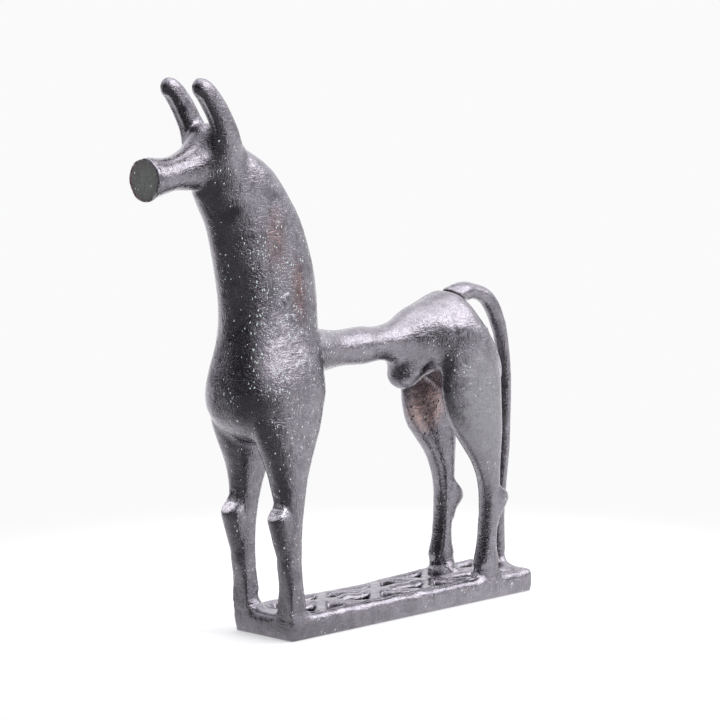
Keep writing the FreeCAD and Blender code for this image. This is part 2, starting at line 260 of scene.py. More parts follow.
# the figure's skin: one surface sculpted over all the castings, then cut at their joints
def meshFromNodes(nodeNames, name):
    # copies the nodes' meshes into one object, with their doubled points merged
    bm = bmesh.new()
    for nodeName in nodeNames:
        one = bmesh.new()
        one.from_mesh(nodes[nodeName].data)
        bmesh.ops.remove_doubles(one, verts=one.verts, dist=mergeWithin)
        part = bpy.data.meshes.new("copyOf" + nodeName)
        one.to_mesh(part)
        one.free()
        bm.from_mesh(part)
        bpy.data.meshes.remove(part)
    mesh = bpy.data.meshes.new(name)
    bm.to_mesh(mesh)
    bm.free()
    obj = bpy.data.objects.new(name, mesh)
    bpy.context.scene.collection.objects.link(obj)
    return obj


def remesh(obj, voxel):
    modifier = obj.modifiers.new("remesh", "REMESH")
    modifier.mode = "VOXEL"
    modifier.voxel_size = voxel
    depsgraph = bpy.context.evaluated_depsgraph_get()
    mesh = bpy.data.meshes.new_from_object(obj.evaluated_get(depsgraph))
    old = obj.data
    obj.modifiers.clear()
    obj.data = mesh
    bpy.data.meshes.remove(old)


def smoothStep(values, low, high):
    t = np.clip((values - low) / (high - low), 0, 1)
    return t * t * (3 - 2 * t)


def near(points, place, reach):
    # 1 at the place, falling smoothly to 0 at the reach, which may differ by axis
    distance = np.linalg.norm((points - np.array(place)) / np.array(reach), axis=1)
    return 1 - smoothStep(distance, 0, 1)


def noiseOver(points, size, offset):
    # smooth noise between about -1 and 1, over features of the given size in millimetres
    place = Vector(offset)
    return np.array([noise.noise(Vector(p) / size + place) for p in points])


class Surface:
    # the skin's points in millimetres, and averages over each point's neighbours
    def __init__(self, mesh):
        self.mesh = mesh
        count = len(mesh.vertices)
        flat = np.empty(count * 3, np.float32)
        mesh.vertices.foreach_get("co", flat)
        self.points = flat.reshape(-1, 3).astype(float) / mm
        pairs = np.empty(len(mesh.edges) * 2, np.int32)
        mesh.edges.foreach_get("vertices", pairs)
        pairs = pairs.reshape(-1, 2)
        self.start = np.concatenate([pairs[:, 0], pairs[:, 1]])
        self.end = np.concatenate([pairs[:, 1], pairs[:, 0]])
        self.degree = np.maximum(np.bincount(self.start, minlength=count), 1)

    def mean(self, values):
        if values.ndim == 1:
            return np.bincount(self.start, values[self.end], len(values)) / self.degree
        return np.stack([self.mean(values[:, i]) for i in range(values.shape[1])], axis=1)

    def smooth(self, rounds, weight=1.0):
        # moves the weighted points towards their neighbours' mean, and leaves the others alone
        weight = np.broadcast_to(np.asarray(weight, float), len(self.points))
        active = np.flatnonzero(weight > 0.01)
        index = np.full(len(self.points), -1)
        index[active] = np.arange(len(active))
        used = index[self.start] >= 0
        start, end = index[self.start[used]], self.end[used]
        pull = 0.5 * weight[active]
        for _ in range(rounds):
            for axis in range(3):
                mean = np.bincount(start, self.points[end, axis], len(active)) / self.degree[active]
                self.points[active, axis] += pull * (mean - self.points[active, axis])

    def spread(self, values, rounds):
        for _ in range(rounds):
            values = self.mean(values)
        return values

    def store(self):
        self.mesh.vertices.foreach_set("co", (self.points * mm).astype(np.float32).ravel())
        self.mesh.update()

    def normals(self):
        self.store()
        flat = np.empty(len(self.points) * 3, np.float32)
        self.mesh.vertex_normals.foreach_get("vector", flat)
        return flat.reshape(-1, 3).astype(float)

    def hollow(self):
        # above 0 in hollows, below 0 on ridges
        return np.einsum("ij,ij->i", self.mean(self.points) - self.points, self.normals())


form = {
    "voxel": 0.45,
    "evenRounds": 5,
    "filletRounds": 110,        # more smoothing in the hollows where legs, ears and barrel run in
    "filletSpread": 12,
    "filletFrom": 0.010,        # how hollow a place is where this starts, and the span to its full
    "filletSpan": 0.020,
    "filletGain": 3.5,
    "filletHeight": (6.6, 8.2),
    "muzzleSpare": ((-105, 0, 145.4), (5, 12, 12)),
    "footRounds": 170,
    "footEdge": 0.4,
    "feet": [                   # where hooves and tail run into the base: place and reach
        ((-49.5, -7.5, 8.8), (8, 7, 5)),
        ((-49.5, 7.5, 8.8), (8, 7, 5)),
        ((37.0, -9.9, 8.8), (9, 8, 5)),
        ((37.0, 9.9, 8.8), (9, 8, 5)),
        ((54.2, 0.0, 8.8), (7, 7, 5)),
    ],
    "blendRounds": 420,
    "blendEdge": 0.6,
    "blend": [                  # where barrel, rump, thigh and cheek run into one another: place and reach
        ((-77, -8, 147), (11, 8, 10)),
        ((-77, 8, 147), (11, 8, 10)),
        ((-1, 0, 89), (17, 16, 17)),
        ((18, -13, 80), (20, 9, 13)),
        ((18, 13, 80), (20, 9, 13)),
        ((26, -12, 72), (15, 9, 17)),
        ((26, 12, 72), (15, 9, 17)),
        ((8, -9, 86), (14, 8, 12)),
        ((8, 9, 86), (14, 8, 12)),
    ],
    "waviness": (15.0, 0.20),   # size and height of the slow waves in the wax
    "lumps": (4.5, 0.07),
    "stipple": (1.6, 0.045),
    "noiseStart": (3.1, 7.7, 5.2),
    "noiseStep": 11.3,
    "flatBelow": (0.2, 2.5),    # the underside stays flat
    "flatAhead": -104.0,        # and so does the cut end of the muzzle, nearly
    "flatShare": 0.85,
}


def softenHollows(skin):
    skin.smooth(form["evenRounds"])
    p = skin.points
    fillet = np.clip((skin.hollow() - form["filletFrom"]) / form["filletSpan"], 0, 1)
    fillet = np.clip(form["filletGain"] * skin.spread(fillet, form["filletSpread"]), 0, 1)
    fillet *= smoothStep(p[:, 2], *form["filletHeight"])
    fillet *= 1 - near(p, *form["muzzleSpare"])
    skin.smooth(form["filletRounds"], fillet)
    blend = np.max([near(p, place, reach) for place, reach in form["blend"]], axis=0)
    skin.smooth(form["blendRounds"], smoothStep(blend, 0.0, form["blendEdge"]))
    feet = np.max([near(p, place, reach) for place, reach in form["feet"]], axis=0)
    skin.smooth(form["footRounds"], smoothStep(feet, 0.0, form["footEdge"]))


nudges = [    # small unevenness of handwork: place, reach, move
    ((46, 9.9, 32), (10, 6, 13), (0, 0, -2.4)),       # the far hock sits lower than the near one
    ((-10, 11.5, 8), (46, 5, 3), (0, 0, -1.1)),       # and the far rim of the base sags
    ((-86, 0, 142.5), (9, 8, 6), (0, 0, -1.7)),       # the throat is full under the muzzle
    ((-76, -6, 150), (7, 6, 9), (-1.0, -1.0, 0.2)),   # and the brow full before the ears
    ((-76, 6, 150), (7, 6, 9), (-1.0, 1.0, 0.2)),
    ((-65, -5, 156), (9, 8, 8), (0.8, -0.3, 0.9)),    # and so is the nape behind the ears
    ((-65, 5, 156), (9, 8, 8), (0.8, 0.3, 0.9)),
]
knees = {
    "front": -63.8,
    "shin": -60.2,
    "tip": 38.5,
    "top": 42.0,
    "above": 4.0,
    "ahead": -56.0,             # only what stands in front of this is cut
    "out": 9.9,
    "reach": 5.6,
}
ribs = {
    "inside": (53.0, 11.6),     # the openings lie within this of the middle
    "below": 8.7,
    "swell": 0.95,
    "unevenness": (3.0, 0.9),
    "offset": (4.4, 1.2, 9.9),
    "topShare": 0.8,
    "topFacing": 0.5,
    "sole": 0.6,                # the underside below this is left alone
    "rounds": 22,
}
rim = {
    "below": 9.4,
    "smoothBelow": 8.9,
    "sole": 0.4,                # points lower than this keep their height
    "rounds": 60,
    "feet": [(-55, -10, 9), (-55, 10, 9), (37, -10, 9), (37, 10, 9)],
    "spare": (7, 7, 12),        # no rounding this near a hoof
    "footEdge": 0.3,
    "crumble": (3.2, 0.22),     # size and depth
    "wave": (9.0, 0.3),
    "offset": (2.2, 8.1, 3.3),
    "loss": 0.35,               # more is worn off than stands proud
    "topFrom": (5.0, 8.0),
    "topShare": 0.8,
    "sideFrom": (0.3, 2.0),
    "sideShare": 0.2,
}
web = {
    "place": (-80.0, 0, 157.0),
    "reach": (9.0, 9.5, 10.0),
    "move": (-1.3, 0, 3.0),
    "edge": 0.3,
    "rounds": 40,
}
brow = {"place": (-79, 0, 153), "reach": (10, 10, 9), "lift": 0.9, "edge": 0.5, "rounds": 120}


def nudge(skin):
    for place, reach, move in nudges:
        skin.points += near(skin.points, place, reach).reshape(-1, 1) * np.array(move)


def cutKnees(skin):
    # a flat sloping ledge above each knee cap, as cut with one stroke of the knife
    p = skin.points
    slope = (knees["shin"] - knees["front"]) / (knees["top"] - knees["tip"])
    ledge = knees["front"] + np.clip(p[:, 2] - knees["tip"], 0, knees["top"] - knees["tip"]) * slope
    chosen = (p[:, 2] > knees["tip"]) & (p[:, 2] < knees["top"] + knees["above"])
    chosen &= p[:, 0] < knees["ahead"]
    chosen &= np.abs(np.abs(p[:, 1]) - knees["out"]) < knees["reach"]
    p[:, 0] = np.where(chosen, np.maximum(p[:, 0], ledge), p[:, 0])


def thickenRibs(skin):
    # the base's openings are smaller than their moulds, their ribs swollen and uneven
    p = skin.points
    length, width = ribs["inside"]
    inside = (np.abs(p[:, 0]) < length) & (np.abs(p[:, 1]) < width) & (p[:, 2] < ribs["below"])
    normals = skin.normals()
    size, height = ribs["unevenness"]
    swell = np.zeros(len(p))
    swell[inside] = ribs["swell"] + height * noiseOver(p[inside], size, ribs["offset"])
    level = 1 - np.abs(normals[:, 2])
    p[:, :2] += normals[:, :2] * (swell * level).reshape(-1, 1)
    top = normals[:, 2] > ribs["topFacing"]
    p[:, 2] += np.where(top, ribs["topShare"] * (swell - ribs["swell"]) * inside, 0)
    skin.smooth(ribs["rounds"], inside & (p[:, 2] > ribs["sole"]))


def softenRim(skin):
    # the base's edges are rounded and crumbled, its sides a little wavy
    p = skin.points
    length, width = ribs["inside"]
    outside = (p[:, 2] < rim["below"]) & ((np.abs(p[:, 0]) > length) | (np.abs(p[:, 1]) > width))
    sole = np.flatnonzero(outside & (p[:, 2] < rim["sole"]))
    height = p[sole, 2].copy()
    foot = np.max([near(p, place, rim["spare"]) for place in rim["feet"]], axis=0)
    clear = 1 - smoothStep(foot, 0.0, rim["footEdge"])
    skin.smooth(rim["rounds"], outside * (p[:, 2] < rim["smoothBelow"]) * clear)
    p[sole, 2] = height
    chosen = np.flatnonzero(outside)
    normals = skin.normals()[chosen]
    lift = np.zeros(len(chosen))
    for name in ("crumble", "wave"):
        size, depth = rim[name]
        lift += depth * (noiseOver(p[chosen], size, rim["offset"]) - rim["loss"])
    top = rim["topShare"] * smoothStep(p[chosen, 2], *rim["topFrom"])
    lift *= top + rim["sideShare"] * smoothStep(p[chosen, 2], *rim["sideFrom"])
    p[chosen] += normals * lift.reshape(-1, 1)


hooves = {
    "end": -57.45,
    "ahead": (54.5, 56.3),      # mm in front of the middle
    "inner": (4.5, 6.5),
    "outer": 14.7,
    "from": (6.0, 8.0),
    "until": (10.0, 24.0),
}


def flushHooves(skin):
    # the fore hooves run down flush into the base's end
    p = skin.points
    aside = np.abs(p[:, 1])
    share = smoothStep(p[:, 2], *hooves["from"]) * (1 - smoothStep(p[:, 2], *hooves["until"]))
    share *= smoothStep(aside, *hooves["inner"]) * (aside < hooves["outer"])
    share *= smoothStep(-p[:, 0], *hooves["ahead"])
    p[:, 0] += share * (hooves["end"] - p[:, 0])


def fillBrow(skin):
    # the web between the ears rises, and the forehead swells below it
    share = near(skin.points, web["place"], web["reach"])
    skin.points += share.reshape(-1, 1) * np.array(web["move"])
    skin.smooth(web["rounds"], smoothStep(share, 0.0, web["edge"]))
    share = near(skin.points, brow["place"], brow["reach"])
    skin.smooth(brow["rounds"], smoothStep(share, 0.0, brow["edge"]))
    skin.points += skin.normals() * (brow["lift"] * share).reshape(-1, 1)


ears = {
    "line": ((-77.5, 154.0), (-80.4, 162.0), (-83.1, 166.4), (-86.1, 170.2), (-89.0, 173.0)),
    "out": 7.2,                 # mm from the middle plane
    "above": 149.0,
    "inner": 2.5,
    "ahead": -70.0,
    "steps": 40,
    "grooveDepth": 0.9,
    "grooveHalfWidth": 1.7,
    "grooveFrom": (0.3, 2.2),   # mm in front of the ear's line
    "start": (0.0, 0.25),       # shares of the ear's length
    "end": (0.8, 1.0),
}


def carveEars(skin):
    # a shallow groove up the front of each ear
    p = skin.points
    line = np.array(ears["line"])
    steps = np.linspace(0, len(line) - 1, ears["steps"] + 1)
    path = np.stack([np.interp(steps, range(len(line)), line[:, i]) for i in (0, 1)], axis=1)
    run = np.gradient(path, axis=0)
    run /= np.linalg.norm(run, axis=1, keepdims=True)
    front = np.stack([-run[:, 1], run[:, 0]], axis=1)      # square to the ear, towards the muzzle
    atEar = (p[:, 2] > ears["above"]) & (np.abs(p[:, 1]) > ears["inner"]) & (p[:, 0] < ears["ahead"])
    chosen = np.flatnonzero(atEar)
    flat = p[chosen][:, (0, 2)]
    nearest = np.argmin(((flat[:, None, :] - path[None, :, :]) ** 2).sum(axis=2), axis=1)
    ahead = ((flat - path[nearest]) * front[nearest]).sum(axis=1)
    aside = np.abs(p[chosen, 1]) - ears["out"]
    share = nearest / ears["steps"]
    depth = ears["grooveDepth"] * np.exp(-(aside / ears["grooveHalfWidth"]) ** 2)
    depth *= smoothStep(ahead, *ears["grooveFrom"])
    depth *= smoothStep(share, *ears["start"]) * (1 - smoothStep(share, *ears["end"]))
    p[chosen, 0] -= depth * front[nearest, 0]
    p[chosen, 2] -= depth * front[nearest, 1]


muzzle = {
    "face": -105.05,
    "from": -103.7,
    "faceFrom": -104.4,
    "lipFrom": -104.5,
    "inset": 0.25,
    "middle": 145.3,
    "radius": 6.45,
    "wobble": 0.12,
    "waves": [(3, 0.5, 1.0), (7, 2.0, 0.6)],   # how many round the rim, their turn and share
}


def sharpenMuzzle(skin):
    # the cut end of the muzzle is flat, with a crisp uneven rim
    p = skin.points
    side, rise = p[:, 1], p[:, 2] - muzzle["middle"]
    radius = np.hypot(side, rise)
    angle = np.arctan2(rise, side)
    waves = sum(share * np.sin(count * angle + turn) for count, turn, share in muzzle["waves"])
    edge = muzzle["radius"] + muzzle["wobble"] * waves
    atEnd = p[:, 0] < muzzle["from"]
    face = atEnd & (radius < edge - muzzle["inset"]) & (p[:, 0] < muzzle["faceFrom"])
    wall = atEnd & ~face
    scale = np.where(wall, edge / np.maximum(radius, 1), 1)
    p[:, 1] *= scale
    p[:, 2] = muzzle["middle"] + rise * scale
    p[face, 0] = muzzle["face"]
    lip = wall & (p[:, 0] < muzzle["lipFrom"])
    p[lip, 0] = muzzle["face"]


joints = {
    "sole": 9.0,                             # hooves and tail stand on the base's pads here
    "barrel": -29.5,                         # plane square to the barrel
    "neckPoint": Vector((-60.5, 0, 135.0)),
    "neckTilt": math.radians(32.0),
    "rootPoint": Vector((29.6, 0, 102.0)),   # plane under the tail's root
    "rootTilt": math.radians(26.0),
    "rootGroove": (1.0, 0.8),                # depth and half width of the crack round the root
    "rootAlong": (19, 41),
    "rootAbove": 95,
    "rootWidth": 7.5,
}
neckNormal = Vector((-math.sin(joints["neckTilt"]), 0, math.cos(joints["neckTilt"])))
rootNormal = Vector((math.sin(joints["rootTilt"]), 0, math.cos(joints["rootTilt"])))


def crackTailRoot(skin):
    # the open crack where the tail's root meets the rump
    normals = skin.normals()
    p = skin.points
    away = (p - np.array(joints["rootPoint"])) @ np.array(rootNormal)
    first, last = joints["rootAlong"]
    local = (p[:, 0] > first) & (p[:, 0] < last)
    local &= (p[:, 2] > joints["rootAbove"]) & (np.abs(p[:, 1]) < joints["rootWidth"])
    depth, half = joints["rootGroove"]
    p -= normals * (local * depth * (1 - smoothStep(np.abs(away), 0, half))).reshape(-1, 1)


plugs = {
    "open": [                                # plugs and pin heads that show underneath: place, reach
        ((-54.5, 0, 62.0), (3.3, 3.3, 9)),
        ((32.0, 0, 67.0), (3.3, 3.3, 9)),
        ((-53.5, -9.9, 0), (3.0, 3.0, 1)),
        ((-53.5, 9.9, 0), (3.0, 3.0, 1)),
        ((37.0, -9.9, 0), (3.0, 3.0, 1)),
        ((37.0, 9.9, 0), (3.0, 3.0, 1)),
        ((54.2, 0, 0), (2.75, 2.75, 1)),
    ],
    "filed": [(-55.5, 107.0), (22.0, 91.7)],  # core pins filed flush and worked over: along, high
    "sink": 0.35,
    "cover": 0.3,
    "coverReach": (0.8, 2.6),
}


def seatPlugs(skin):
    # the skin stops just short of the plugs that show, and closes over the filed core pins
    p = skin.points
    normals = skin.normals()
    for place, reach in plugs["open"]:
        away = (p - np.array(place)) / np.array(reach)
        inside = (np.hypot(away[:, 0], away[:, 1]) < 1) & (np.abs(away[:, 2]) < 1)
        p[inside] -= normals[inside] * plugs["sink"]
    for along, high in plugs["filed"]:
        share = 1 - smoothStep(np.hypot(p[:, 0] - along, p[:, 2] - high), *plugs["coverReach"])
        p += normals * (plugs["cover"] * share).reshape(-1, 1)


def roughen(skin):
    # slow waves, lumps and a fine stipple, kept inside the box of the solids
    p = skin.points
    normals = skin.normals()
    lift = np.zeros(len(p))
    along, across, up = form["noiseStart"]
    for i, name in enumerate(("waviness", "lumps", "stipple")):
        size, height = form[name]
        lift += height * noiseOver(p, size, (form["noiseStep"] * i + along, across, up))
    calm = smoothStep(p[:, 2], *form["flatBelow"])
    calm *= 1 - form["flatShare"] * (p[:, 0] < form["flatAhead"])
    skin.points = p + normals * (lift * calm).reshape(-1, 1)
    low, high = (np.array(corner) / mm for corner in cadBox)
    skin.points = np.clip(skin.points, low, high)
    skin.store()


casting = meshFromNodes(list(nodes), "casting")
remesh(casting, form["voxel"] * mm)
skin = Surface(casting.data)
print("skin of", len(skin.points), "points")
nudge(skin)
softenHollows(skin)
thickenRibs(skin)
softenRim(skin)
flushHooves(skin)
fillBrow(skin)
cutKnees(skin)
carveEars(skin)
crackTailRoot(skin)
sharpenMuzzle(skin)
roughen(skin)
seatPlugs(skin)
skin.store()
print("skin sculpted")


# the skin cut into the castings: the node each stands for, its slot, and which loose part
# of the skin it is, told by that part's middle in metres
castings = {
    "castBase": ("base_plate", "base_bronze", lambda c: c.z < 9 * mm),
    "castHead": ("head", "head_bronze", lambda c: c.z > 145 * mm),
    "castForequarters": ("forequarters", "body_bronze", lambda c: c.x < -30 * mm),
    "castTail": ("tail", "tail_bronze", lambda c: c.x > 45 * mm),
    "castHindquarters": ("hindquarters", "hind_bronze", lambda c: True),
}
smallestPart = 200      # points; what is smaller is a crumb of the cuts
cuts = [                # which faces a cut looks at; a point on its plane in millimetres; its direction
    (lambda c: 6 * mm < c.z < 12 * mm, Vector((0, 0, joints["sole"])), Vector((0, 0, 1))),
    (lambda c: abs(c.x - joints["barrel"] * mm) < 4 * mm and c.z > 40 * mm,
     Vector((joints["barrel"], 0, 0)), Vector((1, 0, 0))),
    (lambda c: c.x < -30 * mm and c.z > 100 * mm, joints["neckPoint"], neckNormal),
    (lambda c: 20 * mm < c.x < 40.5 * mm and c.z > 95 * mm and abs(c.y) < 7 * mm,
     joints["rootPoint"], rootNormal),
]


def splitSkin(mesh):
    # cuts the skin along the joints' planes and parts it there
    bm = bmesh.new()
    bm.from_mesh(mesh)
    for chosen, point, normal in cuts:
        faces = [face for face in bm.faces if chosen(face.calc_center_median())]
        around = {vert for face in faces for vert in face.verts}
        edges = {edge for face in faces for edge in face.edges}
        made = bmesh.ops.bisect_plane(bm, geom=[*around, *edges, *faces], dist=mergeWithin,
                                      plane_co=point * mm, plane_no=normal)
        rim = [item for item in made["geom_cut"] if isinstance(item, bmesh.types.BMEdge)]
        bmesh.ops.split_edges(bm, edges=rim)
    bm.verts.index_update()
    return bm


def islands(bm):
    # the groups of points that hang together
    found = []
    seen = set()
    for first in bm.verts:
        if first in seen:
            continue
        group, stack = [], [first]
        seen.add(first)
        while stack:
            vert = stack.pop()
            group.append(vert)
            for edge in vert.link_edges:
                other = edge.other_vert(vert)
                if other not in seen:
                    seen.add(other)
                    stack.append(other)
        found.append(group)
    return found


def closeCuts(bm):
    # closes each cut with a flat face, its rim kept sharp
    rims = [edge for edge in bm.edges if edge.is_boundary]
    made = bmesh.ops.holes_fill(bm, edges=rims, sides=0)
    for edge in rims:
        edge.smooth = False
    bmesh.ops.triangulate(bm, faces=made["faces"])
    for face in bm.faces:
        face.smooth = True


def makeCastings():
    bm = splitSkin(casting.data)
    made = {}
    for group in islands(bm):
        if len(group) < smallestPart:
            continue
        middle = sum((vert.co for vert in group), Vector()) / len(group)
        name = next(key for key in castings if key not in made and castings[key][2](middle))
        keep = {vert.index for vert in group}
        one = bm.copy()
        others = [vert for vert in one.verts if vert.index not in keep]
        bmesh.ops.delete(one, geom=others, context="VERTS")
        closeCuts(one)
        mesh = bpy.data.meshes.new(name)
        one.to_mesh(mesh)
        one.free()
        obj = bpy.data.objects.new(name, mesh)
        bpy.context.scene.collection.objects.link(obj)
        nodeName, slot, _ = castings[name]
        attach(obj, "root")
        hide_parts(nodeName)
        made[name] = obj
        print(name, "of", len(mesh.vertices), "points")
    bm.free()
    bpy.data.objects.remove(casting)
    return made


pieces = makeCastings()


# bronze: node groups that every piece's material shares
def newGroup(name, inputs, outputs):
    group = bpy.data.node_groups.new(name, "ShaderNodeTree")
    for socketName, kind, value in inputs:
        socket = group.interface.new_socket(socketName, in_out="INPUT", socket_type=kind)
        if value is not None:
            socket.default_value = value
    for socketName, kind in outputs:
        group.interface.new_socket(socketName, in_out="OUTPUT", socket_type=kind)
    return group, newNode(group, "NodeGroupInput"), newNode(group, "NodeGroupOutput")


number, vector = "NodeSocketFloat", "NodeSocketVector"
strokeForm = {
    "directions": [                 # turn of a family of strokes, and the axis it runs along
        ((0.35, 0.9, 0.0), (0, 1, 0)),
        ((-0.6, -0.5, 0.4), (1, 0, 0)),
        ((0.2, 1.3, -0.5), (0, 0, 1)),
    ],
    "patchScale": 0.16,             # each family shows in patches of this scale
    "patchShare": (0.36, 0.54),
    "drawnOut": 0.2,
    "lineScale": 1.5,
    "ridge": (0.38, 0.66),
    "stippleScale": 2.6,
}
fleckForm = {
    "warpScale": 1.1,
    "warpReach": 1.1,
    "drawnOut": (1.0, 1.0, 0.55),   # the specks are longer than wide
    "cloudScale": 0.11,
    "cloud": (0.35, 0.70, -0.28, 0.28),
    "growth": 0.62,
    "largest": 0.26,
    "edge": 0.07,
}


def makeGrain():
    # short strokes that a stiff brush or a scraper left in the wax, over a fine stipple
    group, given, out = newGroup(
        "waxStrokes",
        [("Place", vector, None), ("Strokes", number, 1.0), ("Stipple", number, 1.0)],
        [("Height", number), ("Grain", number)],
    )
    patches = newNode(group, "ShaderNodeTexNoise", Scale=strokeForm["patchScale"], Detail=1.0)
    link(group, (given, "Place"), (patches, "Vector"))
    parts = newNode(group, "ShaderNodeSeparateColor")
    link(group, (patches, "Color"), (parts, 0))
    total = None
    for i, (turn, long) in enumerate(strokeForm["directions"]):
        turned = newNode(group, "ShaderNodeMapping", Rotation=turn)
        turned.inputs["Scale"].default_value = [strokeForm["drawnOut"] if axis else 1.0 for axis in long]
        link(group, (given, "Place"), (turned, "Vector"))
        lines = newNode(group, "ShaderNodeTexNoise", Detail=2.0, Roughness=0.5, Distortion=0.5)
        lines.inputs["Scale"].default_value = strokeForm["lineScale"]
        link(group, (turned, 0), (lines, "Vector"))
        ridge = ramp(group, (lines, 0), *strokeForm["ridge"])
        share = ramp(group, (parts, i), *strokeForm["patchShare"])
        one = mathNode(group, "MULTIPLY", ridge, share)
        total = one if total is None else mathNode(group, "MAXIMUM", total, one)
    fine = newNode(group, "ShaderNodeTexNoise", Detail=3.0, Roughness=0.6)
    fine.inputs["Scale"].default_value = strokeForm["stippleScale"]
    link(group, (given, "Place"), (fine, "Vector"))
    strokes = mathNode(group, "MULTIPLY", total, (given, "Strokes"))
    stipple = mathNode(group, "MULTIPLY", (fine, 0), (given, "Stipple"))
    height = mathNode(group, "ADD", strokes, stipple)
    link(group, height, (out, "Height"))
    link(group, total, (out, "Grain"))
    return group


def makeFlecks():
    # specks of pale verdigris of many sizes, thick where the density is high
    group, given, out = newGroup(
        "paleFlecks",
        [("Place", vector, None), ("Density", number, 0.4), ("Spacing", number, 0.9)],
        [("Mask", number)],
    )
    warp = newNode(group, "ShaderNodeTexNoise", Scale=fleckForm["warpScale"], Detail=2.0)
    link(group, (given, "Place"), (warp, "Vector"))
    shift = newNode(group, "ShaderNodeVectorMath", operation="SCALE", Scale=fleckForm["warpReach"])
    link(group, (warp, "Color"), (shift, 0))
    moved = newNode(group, "ShaderNodeVectorMath", operation="ADD")
    link(group, (given, "Place"), (moved, 0))
    link(group, (shift, 0), (moved, 1))
    drawn = newNode(group, "ShaderNodeMapping")
    drawn.inputs["Scale"].default_value = fleckForm["drawnOut"]
    link(group, (moved, 0), (drawn, "Vector"))
    cells = newNode(group, "ShaderNodeVectorMath", operation="DIVIDE")
    link(group, (drawn, 0), (cells, 0))
    link(group, (given, "Spacing"), (cells, 1))
    spots = newNode(group, "ShaderNodeTexVoronoi", Scale=1.0)
    link(group, (cells, 0), (spots, "Vector"))
    luck = newNode(group, "ShaderNodeSeparateColor")
    link(group, (spots, "Color"), (luck, 0))
    clouds = newNode(group, "ShaderNodeTexNoise", Scale=fleckForm["cloudScale"], Detail=2.0)
    link(group, (given, "Place"), (clouds, "Vector"))
    cloud = ramp(group, (clouds, 0), *fleckForm["cloud"])
    density = mathNode(group, "ADD", (given, "Density"), cloud)
    spare = mathNode(group, "SUBTRACT", density, (luck, 0))
    radius = mathNode(group, "MULTIPLY", mathNode(group, "MAXIMUM", spare, 0.0), fleckForm["growth"])
    radius = mathNode(group, "MINIMUM", radius, fleckForm["largest"])
    edge = mathNode(group, "SUBTRACT", radius, (spots, "Distance"))
    mask = ramp(group, edge, 0.0, fleckForm["edge"])
    link(group, mask, (out, "Mask"))
    return group


grainGroup = makeGrain()
fleckGroup = makeFlecks()


def placed(tree, place):
    # the piece's own coordinates, turned from metres into millimetres
    node = newNode(tree, "ShaderNodeMapping")
    node.inputs["Scale"].default_value = (1 / mm,) * 3
    link(tree, place, (node, "Vector"))
    return node, 0


def patch(tree, place, middle, reach, softness, turn=(0, 0, 0)):
    # a mask that is 1 inside an egg-shaped patch and 0 outside; sizes in millimetres
    node = newNode(tree, "ShaderNodeMapping", vector_type="TEXTURE")
    node.inputs["Location"].default_value = middle
    node.inputs["Rotation"].default_value = turn
    node.inputs["Scale"].default_value = reach
    link(tree, place, (node, "Vector"))
    away = newNode(tree, "ShaderNodeVectorMath", operation="LENGTH")
    link(tree, (node, 0), (away, 0))
    return ramp(tree, (away, "Value"), 1 - softness, 1.0, 1.0, 0.0)


bronze = {
    "dark": (0.150, 0.140, 0.158, 1),
    "light": (0.275, 0.258, 0.290, 1),
    "fleck": (0.52, 0.62, 0.56, 1),
    # the dark of the thigh's pits, and also the painted shade in the tail root's crack
    "pitAndCrackShade": (0.035, 0.032, 0.036, 1),
    "metallic": 0.97,
    "roughness": (0.13, 0.22),
    "cloudScale": 0.22,
    "cloudShare": (0.3, 0.7, 0.0, 0.45),
    "cloudRough": (0.3, 0.75),
    "wornShare": 0.45,          # how much lighter the strokes are
    "stipple": 0.15,
    "thickEdge": 0.9,
    "moreFlecks": 0.5,
    "frayScale": 0.7,           # the edges of soft patches are frayed
    "fray": (0.35, 0.6, 0.35, 1.0),
    "crisp": 0.3,
    "mattMetallic": 0.25,
    "mattRoughness": 0.62,
    "pitDensity": 0.95,
    "pitSpacing": 1.35,
    "pitDepth": 1.5,
    "crackEdge": 0.5,
    "crackRoughness": 0.6,
    "fleckShare": 0.85,
    "fleckMetallic": 0.1,
    "fleckRoughness": 0.75,
    "fleckHeight": 0.5,
    "bumpReach": 0.00006,
}


